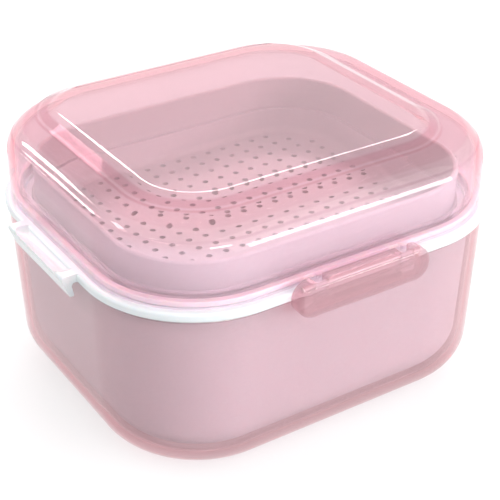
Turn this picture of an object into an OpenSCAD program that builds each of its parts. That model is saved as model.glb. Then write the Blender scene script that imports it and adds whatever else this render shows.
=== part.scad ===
// Denture soaking case: a clear tub with a frosted soak liner, a white
// carry ring that holds a strainer tray, and a hinged, latched clear lid.
// Millimetres. +Z is up, +Y is the hinge side, the latch faces -Y.
// The origin is the middle of the tub's underside.

/* [Case outline] */
// Width over the carry ring
case_w = 100; // [90:1:120]
// Depth over the carry ring
case_d = 88; // [82:1:100]
// Corner radius of the carry ring, seen from above
corner_r = 26.5; // [24:0.5:30]

/* [Tub and liner] */
// Height of the tub's rim
tub_h = 41.4; // [37:0.2:48]
// Wall thickness of the tub
tub_wall = 2; // [1.6:0.1:2.4]
// Radius of the tub's lower edge
tub_edge_r = 10; // [6:0.5:12]
// Clear gap between the tub and the soak liner
liner_gap = 1.6; // [1:0.1:2]
// Wall thickness of the soak liner
liner_wall = 1.5; // [1.2:0.1:1.8]

/* [Carry ring] */
// Thickness of the ring's visible band
band_t = 2.2; // [1.8:0.1:3]
// Length of each finger grip, along the side
grip_l = 27; // [20:1:32]
// How far each finger grip stands out from the ring
grip_out = 3.4; // [2.6:0.1:4.5]

/* [Strainer tray] */
// Depth of the tray below its seat on the ring
tray_drop = 6.4; // [5:0.2:14]
// Gap between the tray's rim and the lid's ceiling
tray_headroom = 6.8; // [5:0.1:9]
// Diameter of a drain hole
hole_d = 1.5; // [1.2:0.1:2.4]
// Spacing of the drain holes
hole_pitch = 4.4; // [4:0.1:7]

/* [Lid] */
// Height of the lid, from its rim to its raised top
lid_h = 18.6; // [15:0.2:24]
// Wall thickness of the lid
lid_wall = 2; // [1.6:0.1:2.2]
// Radius that rounds the walls into the shoulder
shoulder_r = 6.2; // [4:0.2:8]
// Height of the raised top above the shoulder
raised_h = 2; // [1.2:0.1:3]
// Width of the slope that leads up to the raised top
raised_slope = 5; // [3:0.5:8]
// Distance of the slope's foot from the case's sides
raised_side_in = 10; // [8:0.5:14]
// Distance of the slope's foot from the case's front
raised_front_in = 10.4; // [9:0.5:18]

/* [Latch and hinge] */
// Width of the latch
latch_w = 34; // [26:1:42]
// How far the latch hangs down over the tub
latch_drop = 3.2; // [2.6:0.1:4]
// Width of the whole hinge
hinge_w = 38; // [30:1:46]
// Diameter of the hinge pin
hinge_pin_d = 2; // [1.6:0.1:2.4]

/* [Hidden] */
$fn = 64;
cut = 1; // how far a cutting shape runs past the face it cuts

// Plan outline. Every wall follows it, set in by its own inset.
centre_x = case_w / 2 - corner_r;
centre_y = case_d / 2 - corner_r;

// Insets of the walls from the carry ring's outer edge
tub_in = 0.6;
draft = 1.2; // how far a deep wall leans in towards its foot
rebate_in = tub_in + 0.9; // outer edge of the step that seats the liner
liner_in = tub_in + tub_wall + liner_gap;
lid_in = 1.4;
rim_in = 4.6; // inner edge of the lid's thick rim and of the ring's band
tray_in = rim_in + 1.8; // outer edge of the tray's seat
skirt_in = liner_in + liner_wall + 0.35;
skirt_t = 1.6;
mouth_in = skirt_in + skirt_t;
tray_wall = 1.3;
tray_lower_in = mouth_in + 0.5;
tray_upper_in = rim_in + 2.2;

// Heights
tub_floor = 2.2;
flange_t = 1;
ring_z = tub_h;
seat_z = ring_z + 1;
band_top = ring_z + band_t;
lid_z = band_top + 0.2;
lid_top_z = lid_z + lid_h;
tray_seat_t = 1;
tray_floor_t = 1.2;
tray_floor_z = seat_z - tray_drop;

// Lid
rim_h = 2.6;
raised_edge_r = 0.8;
raised_corner = 18;
raised_x = case_w / 2 - raised_side_in;
raised_front = case_d / 2 - raised_front_in;
raised_back = case_d / 2 - 4.2;
shoulder_z = lid_top_z - raised_h;
tray_top_z = shoulder_z - lid_wall - tray_headroom;

// Latch, in the lid's closed place
latch_back_y = -(case_d / 2 + 0.3);
latch_t = 3.5;
latch_corner_r = 3;
latch_plate = 1.5;
latch_pin_r = 0.6;
lug_r = 1;
lug_w = 2.6;
lug_x = latch_w / 2 - 6;
latch_end = 1.6;
latch_head = 1.6; // height of the latch above its axis
latch_axis_y = latch_back_y - 1.3;
latch_axis_z = band_top + lug_r;
latch_top_z = latch_axis_z + latch_head;
latch_foot_z = tub_h - latch_drop;
latch_h = latch_top_z - latch_foot_z;
hook_t = 1;
catch_w = latch_w - 12;
catch_z = latch_foot_z + hook_t + 0.2;
catch_tip_y = -(case_d / 2 + 1);

// Hinge
knuckle_r = hinge_pin_d / 2 + 1.6;
hinge_y = case_d / 2 + knuckle_r + 0.8;
hinge_z = band_top - 0.6;
knuckle_gap = 0.4;
lid_knuckle_w = 0.62 * hinge_w;
bore_clear = 0.08;

clear_pink = "LightPink";
deep_pink = "LightCoral";
frosted = "Thistle";
silicone = "MistyRose";
steel = "Silver";

// Distance from a corner's centre to a wall that is set in by this much
function wall_r(inset) = corner_r - inset;

// Carries a section round the plan outline. The section's X runs outward
// from the corner centres and its Y is the height.
module carry_round(half_x = centre_x, half_y = centre_y) {
  for (turn = [0:3]) {
    out = turn % 2 == 0 ? half_x : half_y;
    along = turn % 2 == 0 ? half_y : half_x;
    rotate([0, 0, 90 * turn]) translate([out, along, 0]) {
      rotate_extrude(angle = 90) children();
      rotate([90, 0, 0]) linear_extrude(2 * along) children();
    }
  }
}

// A section that reaches the corner centres, closed across the middle
module carry_cup(floor_z, floor_t) {
  carry_round() children();
  translate([-centre_x, -centre_y, floor_z])
    cube([2 * centre_x, 2 * centre_y, floor_t]);
}

// Half section of a solid cup with a leaning wall and a rounded lower edge
module cup_section(top_r, foot_r, z0, z1, edge_r) {
  hub = [foot_r - edge_r, z0 + edge_r];
  reach = [top_r, z1] - hub;
  lean = atan2(reach.y, reach.x) - acos(edge_r / norm(reach));
  touch = hub + edge_r * [cos(lean), sin(lean)];
  polygon([[0, z0], [hub.x, z0], touch, [top_r, z1], [0, z1]]);
  translate(hub) circle(edge_r);
}

// Rectangle of a section, given by insets and heights
module band_section(inset_out, inset_in, z0, z1) {
  translate([wall_r(inset_in), z0])
    square([inset_in - inset_out, z1 - z0]);
}

// The plan outline, set in
module plan(inset) {
  r = wall_r(inset);
  square([2 * (centre_x + r), 2 * centre_y], center = true);
  square([2 * centre_x, 2 * (centre_y + r)], center = true);
  for (x = [-1, 1], y = [-1, 1])
    translate([x * centre_x, y * centre_y]) circle(r);
}

// A bar along X, drawn by its section across Y and Z
module bar_x(length) {
  rotate([90, 0, 90]) linear_extrude(length, center = true) children();
}

// ---------- Tub ----------

module tub_wall_section() {
  difference() {
    cup_section(wall_r(tub_in), wall_r(tub_in + draft), 0, tub_h, tub_edge_r);
    cup_section(
      wall_r(tub_in + tub_wall), wall_r(tub_in + tub_wall + draft),
      tub_floor, tub_h + cut, tub_edge_r - tub_wall
    );
    band_section(rebate_in, tub_in + tub_wall + cut, tub_h - flange_t, tub_h + cut);
  }
}

// Ledge that the latch's hook grips
module latch_catch() {
  wall_y = -(case_d / 2 - tub_in);
  bar_x(catch_w) polygon([
    [wall_y + 0.6, catch_z], [catch_tip_y, catch_z],
    [catch_tip_y, catch_z + 0.4], [catch_tip_y + 0.6, catch_z + 1], [wall_y + 0.6, catch_z + 1]
  ]);
}

module tub_knuckle() {
  wall_y = case_d / 2 - tub_in;
  arm_w = (hinge_w - lid_knuckle_w) / 2 - knuckle_gap;
  bar_x(arm_w) {
    translate([hinge_y, hinge_z]) circle(knuckle_r);
    polygon([
      [wall_y - 1.2, tub_h - 13], [wall_y - 1.2, tub_h - 1.6],
      [hinge_y - 2.2, hinge_z - 1.4], [hinge_y, hinge_z],
      [hinge_y + 2.55, hinge_z - 0.5], [hinge_y + 1.4, hinge_z - 4]
    ]);
  }
}

module base_tub() {
  knuckle_x = (hinge_w + lid_knuckle_w + 2 * knuckle_gap) / 4;
  color(clear_pink, 0.5) difference() {
    union() {
      carry_cup(0, tub_floor) tub_wall_section();
      latch_catch();
      for (x = [-1, 1]) translate([x * knuckle_x, 0, 0]) tub_knuckle();
    }
    hinge_bore(hinge_pin_d / 2 + bore_clear / 2);
  }
}

// ---------- Soak liner ----------

module inner_liner() {
  foot_z = tub_floor + liner_gap;
  edge_r = tub_edge_r - tub_wall;
  color(frosted) carry_cup(foot_z, liner_wall) {
    difference() {
      union() {
        cup_section(wall_r(liner_in), wall_r(liner_in + draft), foot_z, tub_h, edge_r);
        band_section(rebate_in + 0.2, liner_in + liner_wall, tub_h - flange_t, tub_h);
      }
      cup_section(
        wall_r(liner_in + liner_wall), wall_r(liner_in + liner_wall + draft),
        foot_z + liner_wall, tub_h + cut, edge_r - liner_wall
      );
    }
  }
}

// ---------- Carry ring ----------

module ring_section() {
  edge_r = 0.7;
  band_section(edge_r, rim_in, ring_z, band_top);
  band_section(0, edge_r + 0.1, ring_z + edge_r, band_top - edge_r);
  for (z = [ring_z + edge_r, band_top - edge_r])
    translate([wall_r(edge_r), z]) circle(edge_r);
  band_section(rim_in - 0.1, mouth_in, ring_z, seat_z);
  difference() {
    band_section(skirt_in, mouth_in, ring_z - 4.6, ring_z + 0.1);
    band_section(skirt_in - cut, skirt_in + 1, ring_z - 3, ring_z - 1.6);
  }
}

// Finger grip on the right side: a tab that turns down over the tub, with
// a scooped top
module finger_grip() {
  edge_x = case_w / 2;
  lip_x = edge_x + grip_out;
  scoop_r = 5;
  scoop_l = grip_l - 10;
  difference() {
    translate([0, grip_l / 2, 0]) rotate([90, 0, 0]) linear_extrude(grip_l) {
      polygon([
        [edge_x - 1.5, ring_z + 0.2], [edge_x - 1.5, band_top],
        [lip_x - 0.8, band_top], [lip_x - 0.05, band_top - 0.6],
        [lip_x - 1.6, ring_z - 2.9], [lip_x - 2.6, ring_z - 2.9],
        [lip_x - 2.2, ring_z - 0.4], [lip_x - 2.6, ring_z + 0.2]
      ]);
      translate([lip_x - 0.8, band_top - 0.8]) circle(0.8);
    }
    translate([edge_x + 1.2, 0, band_top + scoop_r - 0.9]) {
      rotate([90, 0, 0]) cylinder(r = scoop_r, h = scoop_l, center = true);
      for (y = [-1, 1]) translate([0, y * scoop_l / 2, 0]) sphere(scoop_r);
    }
  }
}

module carry_ring() {
  color("white") {
    carry_round() ring_section();
    for (side = [0, 180]) rotate([0, 0, side]) finger_grip();
  }
}

module ring_seal() {
  color(silicone) carry_round() translate([0, ring_z - 2.9])
    band_section(skirt_in - 0.1, skirt_in + 0.9, 0, 1.2);
}

// ---------- Strainer tray ----------

module tray_section() {
  lower_r = wall_r(tray_lower_in);
  upper_r = wall_r(tray_upper_in);
  edge_r = 3;
  bead_z = tray_top_z - tray_wall / 2;
  difference() {
    cup_section(lower_r, lower_r - 0.7, tray_floor_z, seat_z + 0.5, edge_r);
    cup_section(
      lower_r - tray_wall, lower_r - tray_wall - 0.7,
      tray_floor_z + tray_floor_t, seat_z + cut, edge_r - tray_wall
    );
  }
  band_section(tray_in, tray_lower_in + tray_wall, seat_z, seat_z + tray_seat_t);
  polygon([
    [upper_r - tray_wall - 0.3, seat_z], [upper_r - 0.3, seat_z],
    [upper_r, bead_z], [upper_r - tray_wall, bead_z]
  ]);
  translate([upper_r - tray_wall / 2, bead_z]) circle(tray_wall / 2);
}

// True where a drain hole keeps clear of the tray's rounded corners
function in_floor(x, y, margin) =
  let (dx = max(abs(x) - centre_x, 0), dy = max(abs(y) - centre_y, 0))
  norm([dx, dy]) < wall_r(tray_lower_in) - margin;

module strainer_tray() {
  columns = floor(case_w / 2 / hole_pitch);
  rows = floor(case_d / 2 / hole_pitch);
  color(frosted) difference() {
    carry_cup(tray_floor_z, tray_floor_t) tray_section();
    for (i = [-columns:columns], j = [-rows:rows])
      if (in_floor(i * hole_pitch, j * hole_pitch, 4))
        translate([i * hole_pitch, j * hole_pitch, tray_floor_z - cut])
          cylinder(d = hole_d, h = tray_floor_t + 2 * cut);
  }
}

// ---------- Lid ----------

module torus(ring_r, section_r) {
  rotate_extrude($fn = 48)
    translate([ring_r - section_r, 0]) circle(section_r, $fn = 20);
}

// Lower tier of the lid: upright walls under a rounded, level shoulder
module shoulder_form(inset, foot_z) {
  edge_r = shoulder_r - (inset - lid_in);
  drop = inset - lid_in;
  hull() {
    translate([0, 0, foot_z]) linear_extrude(1) plan(inset, $fn = 48);
    for (x = [-1, 1], y = [-1, 1])
      translate([x * centre_x, y * centre_y, shoulder_z - drop - edge_r])
        torus(wall_r(inset), edge_r);
  }
}

// Upper tier of the lid: a slope that leads up to the level raised top.
// Its foot and its top are set in, and the whole of it drops by one wall.
module raised_form(foot_in, top_in, drop, foot_z) {
  hub_x = raised_x - raised_corner;
  top_r = raised_corner - raised_slope - top_in;
  hull() for (x = [-hub_x, hub_x], y = [raised_corner - raised_front, raised_back - raised_corner])
    translate([x, y, 0]) {
      translate([0, 0, foot_z])
        cylinder(r = raised_corner - foot_in, h = shoulder_z - drop - foot_z, $fn = 48);
      translate([0, 0, lid_top_z - drop - raised_edge_r]) torus(top_r, raised_edge_r);
    }
}

module lid_knuckle() {
  wall_y = case_d / 2 - lid_in;
  bar_x(lid_knuckle_w) {
    translate([hinge_y, hinge_z]) circle(knuckle_r);
    polygon([
      [wall_y - 1, lid_z + 0.2], [wall_y - 1, lid_z + 5], [wall_y + 1.4, lid_z + 4.2],
      [hinge_y + 1, hinge_z + 2.4], [hinge_y, hinge_z], [hinge_y - 2.4, hinge_z + 1]
    ]);
  }
}

// One of the two lugs that carry the latch's pin
module latch_lug() {
  wall_y = -(case_d / 2 - lid_in);
  bar_x(lug_w) {
    translate([latch_axis_y, latch_axis_z]) circle(lug_r);
    translate([latch_axis_y, latch_axis_z - 0.6])
      square([wall_y + 1 - latch_axis_y, 1.2]);
  }
}

module lid_shell() {
  color(clear_pink, 0.5) difference() {
    union() {
      difference() {
        union() {
          shoulder_form(lid_in, lid_z);
          raised_form(0, 0, 0, shoulder_z - 1.6);
        }
        shoulder_form(lid_in + lid_wall, lid_z - cut);
        raised_form(lid_wall, 0.4, lid_wall, shoulder_z - lid_wall - cut);
      }
      carry_round() band_section(lid_in + 0.5, rim_in, lid_z, lid_z + rim_h);
      lid_knuckle();
      for (x = [-1, 1]) translate([x * lug_x, 0, 0]) latch_lug();
    }
    carry_round() band_section(lid_in + 0.8, rim_in - 0.7, lid_z - cut, lid_z + 1.4);
    hinge_bore(hinge_pin_d / 2 + bore_clear);
    latch_bore(latch_pin_r + bore_clear / 2, 2 * lug_x + lug_w + cut);
  }
}

module lid_seal() {
  lip_r = 0.5;
  color(silicone) carry_round() {
    band_section(lid_in + 0.9, rim_in - 0.8, lid_z + lip_r, lid_z + 1.3);
    translate([wall_r((lid_in + rim_in + 0.1) / 2), lid_z + lip_r - 0.1])
      circle(lip_r);
  }
}

// ---------- Latch ----------

module latch_bore(radius, length) {
  translate([0, latch_axis_y, latch_axis_z]) rotate([0, 90, 0])
    cylinder(r = radius, h = length, center = true);
}

// Rounded plate seen from the front, with a rounded front edge
module latch_plate_form() {
  edge_r = 1;
  half_x = latch_w / 2 - latch_corner_r;
  half_z = latch_h / 2 - latch_corner_r;
  translate([0, latch_back_y, latch_top_z - latch_h / 2]) rotate([90, 0, 0]) {
    carry_round(half_x, half_z) {
      square([latch_corner_r, latch_t - edge_r]);
      square([latch_corner_r - edge_r, latch_t]);
      translate([latch_corner_r - edge_r, latch_t - edge_r]) circle(edge_r);
    }
    translate([-half_x, -half_z, 0]) cube([2 * half_x, 2 * half_z, latch_t]);
  }
}

module front_latch() {
  plate_y = latch_back_y - latch_t + latch_plate;
  inner_w = latch_w - 2 * latch_end;
  pocket_top = latch_axis_z - 1.4;
  color(deep_pink, 0.7) difference() {
    union() {
      latch_plate_form();
      translate([-catch_w / 2 - 1, plate_y - 0.5, latch_foot_z])
        cube([catch_w + 2, latch_back_y + 0.6 - plate_y + 0.5, hook_t]);
    }
    translate([-inner_w / 2, plate_y, latch_foot_z + hook_t])
      cube([inner_w, latch_t + cut, pocket_top - latch_foot_z - hook_t]);
    for (x = [-1, 1])
      translate([x * lug_x - lug_w / 2 - 0.3, latch_axis_y - 1.2, pocket_top - cut])
        cube([lug_w + 0.6, latch_t + cut, latch_h]);
    latch_bore(latch_pin_r + bore_clear / 2, inner_w);
  }
}

module latch_pin() {
  color(steel) translate([0, latch_axis_y, latch_axis_z]) rotate([0, 90, 0])
    cylinder(r = latch_pin_r, h = latch_w - 2 * latch_end - 0.4, center = true);
}

// ---------- Hinge ----------

module hinge_bore(radius) {
  translate([0, hinge_y, hinge_z]) rotate([0, 90, 0])
    cylinder(r = radius, h = hinge_w + 2 * cut, center = true);
}

module hinge_pin() {
  color(steel) translate([0, hinge_y, hinge_z]) rotate([0, 90, 0])
    cylinder(d = hinge_pin_d, h = hinge_w - 0.6, center = true);
}

base_tub();
inner_liner();
carry_ring();
ring_seal();
strainer_tray();
lid_shell();
lid_seal();
front_latch();
latch_pin();
hinge_pin();
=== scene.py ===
"""Clear pink denture soaking case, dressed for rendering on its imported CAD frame.

Every smooth moulded piece is rebuilt here from the sizes of its CAD node and
replaces that node. The two steel pins stay as the CAD nodes and only get their
finish. Sizes are in millimetres, in the frame of the CAD, and are turned into
metres where a mesh is made.
"""

from __future__ import annotations

import logging
import math
from dataclasses import dataclass
from enum import Enum
from typing import Any, Sequence

import bmesh
import bpy
from mathutils import Matrix, Vector

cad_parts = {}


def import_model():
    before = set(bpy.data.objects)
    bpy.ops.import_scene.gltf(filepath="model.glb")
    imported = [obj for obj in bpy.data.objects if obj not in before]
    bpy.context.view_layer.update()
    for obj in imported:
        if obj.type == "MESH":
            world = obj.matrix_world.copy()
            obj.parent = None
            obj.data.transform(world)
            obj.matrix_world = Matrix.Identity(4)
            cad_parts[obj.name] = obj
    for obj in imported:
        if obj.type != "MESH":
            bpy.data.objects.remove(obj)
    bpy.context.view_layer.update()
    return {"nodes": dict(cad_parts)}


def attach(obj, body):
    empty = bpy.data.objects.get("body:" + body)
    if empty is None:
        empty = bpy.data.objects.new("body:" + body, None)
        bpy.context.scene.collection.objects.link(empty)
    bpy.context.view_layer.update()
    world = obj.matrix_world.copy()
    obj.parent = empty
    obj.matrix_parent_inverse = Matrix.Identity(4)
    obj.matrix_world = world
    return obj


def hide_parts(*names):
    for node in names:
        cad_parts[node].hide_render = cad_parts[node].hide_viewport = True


LOG = logging.getLogger("denture_case")
MM = 0.001

Point = tuple[float, float]
Point3 = tuple[float, float, float]
Colour = tuple[float, float, float, float]


class Body(str, Enum):
    """The bodies that the pieces ride on."""

    BASE = "base"
    TRAY = "tray"
    LID = "lid"
    LATCH = "latch"


class Slot(str, Enum):
    """The material slots of the record."""

    TUB = "clear_tub"
    LID = "clear_lid"
    LATCH = "clear_latch"
    LINER = "frosted_liner"
    TRAY = "frosted_tray"
    RING = "white_ring"
    SEAL = "silicone"
    PIN = "pin_steel"


class Cut(str, Enum):
    """How two solids are combined."""

    JOIN = "UNION"
    TAKE = "DIFFERENCE"


# ---------------------------------------------------------------- sections


def arc(centre: Point, radius: float, start: float, end: float, steps: int) -> list[Point]:
    """Points on an arc of a section.

    Args:
        centre: Inset and height of the arc's centre.
        radius: Radius of the arc.
        start: First angle in degrees, from the outward direction towards up.
        end: Last angle in degrees.
        steps: Number of straight pieces.

    Returns:
        The points as (inset, height), both ends included.
    """
    points = []
    for i in range(steps + 1):
        a = math.radians(start + (end - start) * i / steps)
        points.append((centre[0] - radius * math.cos(a), centre[1] + radius * math.sin(a)))
    return points


@dataclass(frozen=True)
class Outline:
    """A rounded rectangle seen from above.

    Attributes:
        half_x: Distance of the corner centres from the middle, sideways.
        half_y: The same, from front to back.
        radius: Radius of the corners.
        middle: How far the middle lies behind the origin.
        steps: Straight pieces of a corner.
    """

    half_x: float
    half_y: float
    radius: float
    middle: float = 0.0
    steps: int = 22

    def loop(self, inset: float) -> list[Point]:
        """Points of the outline set in by a distance.

        Args:
            inset: Distance inwards from the outline.

        Returns:
            Its points, counter-clockwise.
        """
        r = self.radius - inset
        points = []
        for k, (sx, sy) in enumerate(((1, 1), (-1, 1), (-1, -1), (1, -1))):
            x, y = sx * self.half_x, sy * self.half_y + self.middle
            for i in range(self.steps + 1):
                a = math.radians(90 * (k + i / self.steps))
                points.append((x + r * math.cos(a), y + r * math.sin(a)))
        return points


def sweep(
    outline: Outline, section: Sequence[Point], closed: bool = False
) -> bmesh.types.BMesh:
    """Carries a section round an outline.

    Args:
        outline: The path, seen from above.
        section: Points as (inset, height), in order.
        closed: True for a ring. An open section is capped at both ends.

    Returns:
        A closed mesh in millimetres whose faces point outwards.
    """
    mesh = bmesh.new()
    rings = []
    for inset, height in section:
        rings.append([mesh.verts.new((x, y, height)) for x, y in outline.loop(inset)])
    count = len(rings[0])
    last = len(rings) if closed else len(rings) - 1
    for i in range(last):
        a, b = rings[i], rings[(i + 1) % len(rings)]
        for j in range(count):
            k = (j + 1) % count
            mesh.faces.new((a[j], a[k], b[k], b[j]))
    if not closed:
        mesh.faces.new(list(reversed(rings[0])))
        mesh.faces.new(rings[-1])
    bmesh.ops.remove_doubles(mesh, verts=mesh.verts, dist=1e-5)
    bmesh.ops.recalc_face_normals(mesh, faces=mesh.faces)
    return mesh


def bar(x0: float, x1: float, section: Sequence[Point]) -> bmesh.types.BMesh:
    """A straight bar along X.

    Args:
        x0: Its left end.
        x1: Its right end.
        section: Points as (y, z), in order.

    Returns:
        A closed mesh in millimetres.
    """
    mesh = bmesh.new()
    ends = [[mesh.verts.new((x, y, z)) for y, z in section] for x in (x0, x1)]
    count = len(section)
    for j in range(count):
        k = (j + 1) % count
        mesh.faces.new((ends[0][j], ends[0][k], ends[1][k], ends[1][j]))
    mesh.faces.new(ends[0])
    mesh.faces.new(ends[1])
    bmesh.ops.recalc_face_normals(mesh, faces=mesh.faces)
    return mesh


def rod(x0: float, x1: float, axis: Point, radius: float, steps: int = 40) -> bmesh.types.BMesh:
    """A round bar along X, about an axis given as (y, z)."""
    ring = [
        (
            axis[0] + radius * math.cos(2 * math.pi * i / steps),
            axis[1] + radius * math.sin(2 * math.pi * i / steps),
        )
        for i in range(steps)
    ]
    return bar(x0, x1, ring)


def block(low: Point3, high: Point3) -> bmesh.types.BMesh:
    """A plain cutting block between two corners."""
    section = [(low[1], low[2]), (high[1], low[2]), (high[1], high[2]), (low[1], high[2])]
    return bar(low[0], high[0], section)


def turned(mesh: bmesh.types.BMesh, matrix: Matrix) -> bmesh.types.BMesh:
    """The same mesh, moved by a matrix."""
    bmesh.ops.transform(mesh, matrix=matrix, verts=mesh.verts)
    bmesh.ops.recalc_face_normals(mesh, faces=mesh.faces)
    return mesh


# ---------------------------------------------------------------- solids


class Solid:
    """A closed mesh object that others are joined to or taken from."""

    def __init__(self, name: str, mesh: bmesh.types.BMesh) -> None:
        """Makes the object from a mesh in millimetres.

        Args:
            name: Name of the object.
            mesh: Its shape, which is used up.
        """
        data = bpy.data.meshes.new(name)
        mesh.to_mesh(data)
        mesh.free()
        self.object = bpy.data.objects.new(name, data)
        bpy.context.scene.collection.objects.link(self.object)

    def combine(self, other: "Solid", cut: Cut) -> "Solid":
        """Joins another solid to this one, or takes it away.

        Args:
            other: The other solid, which is used up.
            cut: Which of the two.

        Returns:
            This solid.
        """
        boolean = self.object.modifiers.new("cut", "BOOLEAN")
        boolean.operation = cut.value
        boolean.solver = "EXACT"
        boolean.object = other.object
        self.settle()
        other.discard()
        return self

    def join(self, *meshes: bmesh.types.BMesh) -> "Solid":
        """Joins meshes to this solid, one after another."""
        for mesh in meshes:
            self.combine(Solid("tool", mesh), Cut.JOIN)
        return self

    def take(self, *meshes: bmesh.types.BMesh) -> "Solid":
        """Takes meshes away from this solid, one after another."""
        for mesh in meshes:
            self.combine(Solid("tool", mesh), Cut.TAKE)
        return self

    def settle(self) -> None:
        """Turns what the modifiers give into the plain mesh, and removes them."""
        graph = bpy.context.evaluated_depsgraph_get()
        data = bpy.data.meshes.new_from_object(
            self.object.evaluated_get(graph), preserve_all_data_layers=True, depsgraph=graph
        )
        old = self.object.data
        self.object.modifiers.clear()
        self.object.data = data
        data.name = self.object.name
        bpy.data.meshes.remove(old)

    def discard(self) -> None:
        """Removes the object and its mesh."""
        data = self.object.data
        bpy.data.objects.remove(self.object)
        bpy.data.meshes.remove(data)

    def finish(self, sharp: float = 32.0) -> bpy.types.Object:
        """Scales the mesh to metres and gives it smooth shading between edges.

        Args:
            sharp: Angle in degrees above which an edge stays sharp.

        Returns:
            The finished object, at the origin.
        """
        mesh = bmesh.new()
        mesh.from_mesh(self.object.data)
        bmesh.ops.remove_doubles(mesh, verts=mesh.verts, dist=1e-4)
        bmesh.ops.dissolve_degenerate(mesh, edges=mesh.edges, dist=1e-5)
        limit = math.radians(sharp)
        for edge in mesh.edges:
            edge.smooth = len(edge.link_faces) == 2 and edge.calc_face_angle(0.0) < limit
        for face in mesh.faces:
            face.smooth = True
        bmesh.ops.scale(mesh, vec=(MM, MM, MM), verts=mesh.verts)
        mesh.to_mesh(self.object.data)
        mesh.free()
        weighted = self.object.modifiers.new("normals", "WEIGHTED_NORMAL")
        weighted.keep_sharp = True
        self.settle()
        return self.object


# ---------------------------------------------------------------- finishes


class Tree:
    """A short way to add and link nodes in a node tree."""

    def __init__(self, tree: bpy.types.NodeTree) -> None:
        """Starts on a tree, emptied."""
        self.tree = tree
        tree.nodes.clear()

    def add(self, kind: str, settings: dict[str, Any] | None = None, **inputs: Any) -> Any:
        """Adds a node.

        Args:
            kind: Type name of the node.
            settings: Properties of the node.
            **inputs: Values of its inputs by name, with _ for a space.

        Returns:
            The node.
        """
        node = self.tree.nodes.new(kind)
        for name, value in (settings or {}).items():
            setattr(node, name, value)
        for name, value in inputs.items():
            node.inputs[name.replace("_", " ")].default_value = value
        return node

    def link(self, start: bpy.types.NodeSocket, end: bpy.types.NodeSocket) -> None:
        """Links an output to an input."""
        self.tree.links.new(start, end)


def moulded_skin() -> bpy.types.NodeTree:
    """The node group for the faint unevenness of a moulded plastic skin.

    Returns:
        A group with the inputs Scale, Low and High and the outputs Roughness
        and Height, built once.
    """
    name = "moulded_skin"
    if name in bpy.data.node_groups:
        return bpy.data.node_groups[name]
    group = bpy.data.node_groups.new(name, "ShaderNodeTree")
    for label, value in (("Scale", 60.0), ("Low", 0.02), ("High", 0.06)):
        socket = group.interface.new_socket(label, in_out="INPUT", socket_type="NodeSocketFloat")
        socket.default_value = value
    for label in ("Roughness", "Height"):
        group.interface.new_socket(label, in_out="OUTPUT", socket_type="NodeSocketFloat")
    tree = Tree(group)
    given, out = tree.add("NodeGroupInput"), tree.add("NodeGroupOutput")
    place = tree.add("ShaderNodeTexCoord")
    broad = tree.add("ShaderNodeTexNoise", Detail=3.0, Roughness=0.5)
    fit = tree.add("ShaderNodeMapRange")
    tree.link(place.outputs["Object"], broad.inputs["Vector"])
    tree.link(given.outputs["Scale"], broad.inputs["Scale"])
    tree.link(broad.outputs["Fac"], fit.inputs["Value"])
    tree.link(given.outputs["Low"], fit.inputs["To Min"])
    tree.link(given.outputs["High"], fit.inputs["To Max"])
    tree.link(fit.outputs["Result"], out.inputs["Roughness"])
    tree.link(broad.outputs["Fac"], out.inputs["Height"])
    return group


def frost_grain() -> bpy.types.NodeTree:
    """The node group for the fine spark-eroded grain of a frosted moulding.

    Returns:
        A group with the inputs Grain, Cloud, Pale and Deep and the outputs
        Color and Height, built once.
    """
    name = "frost_grain"
    if name in bpy.data.node_groups:
        return bpy.data.node_groups[name]
    group = bpy.data.node_groups.new(name, "ShaderNodeTree")
    for label, value in (("Grain", 900.0), ("Cloud", 25.0)):
        socket = group.interface.new_socket(label, in_out="INPUT", socket_type="NodeSocketFloat")
        socket.default_value = value
    for label in ("Pale", "Deep"):
        group.interface.new_socket(label, in_out="INPUT", socket_type="NodeSocketColor")
    group.interface.new_socket("Color", in_out="OUTPUT", socket_type="NodeSocketColor")
    group.interface.new_socket("Height", in_out="OUTPUT", socket_type="NodeSocketFloat")
    tree = Tree(group)
    given, out = tree.add("NodeGroupInput"), tree.add("NodeGroupOutput")
    place = tree.add("ShaderNodeTexCoord")
    fine = tree.add("ShaderNodeTexNoise", Detail=2.0, Roughness=0.6)
    cloud = tree.add("ShaderNodeTexNoise", Detail=3.0, Roughness=0.5)
    both = tree.add("ShaderNodeMix", {"data_type": "FLOAT"})
    both.inputs["Factor"].default_value = 0.45
    spread = tree.add("ShaderNodeMapRange")
    spread.inputs["From Min"].default_value = 0.35
    spread.inputs["From Max"].default_value = 0.65
    tint = tree.add("ShaderNodeMix", {"data_type": "RGBA"})
    for texture, scale in ((fine, "Grain"), (cloud, "Cloud")):
        tree.link(place.outputs["Object"], texture.inputs["Vector"])
        tree.link(given.outputs[scale], texture.inputs["Scale"])
    tree.link(fine.outputs["Fac"], both.inputs[2])
    tree.link(cloud.outputs["Fac"], both.inputs[3])
    tree.link(both.outputs[0], spread.inputs["Value"])
    tree.link(spread.outputs["Result"], tint.inputs["Factor"])
    tree.link(given.outputs["Deep"], tint.inputs[6])
    tree.link(given.outputs["Pale"], tint.inputs[7])
    tree.link(tint.outputs[2], out.inputs["Color"])
    tree.link(fine.outputs["Fac"], out.inputs["Height"])
    return group


def placed(tree: Tree, group: bpy.types.NodeTree, **inputs: Any) -> Any:
    """Puts a node group in a material, with its own values."""
    node = tree.add("ShaderNodeGroup", {"node_tree": group})
    for name, value in inputs.items():
        node.inputs[name].default_value = value
    return node


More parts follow.
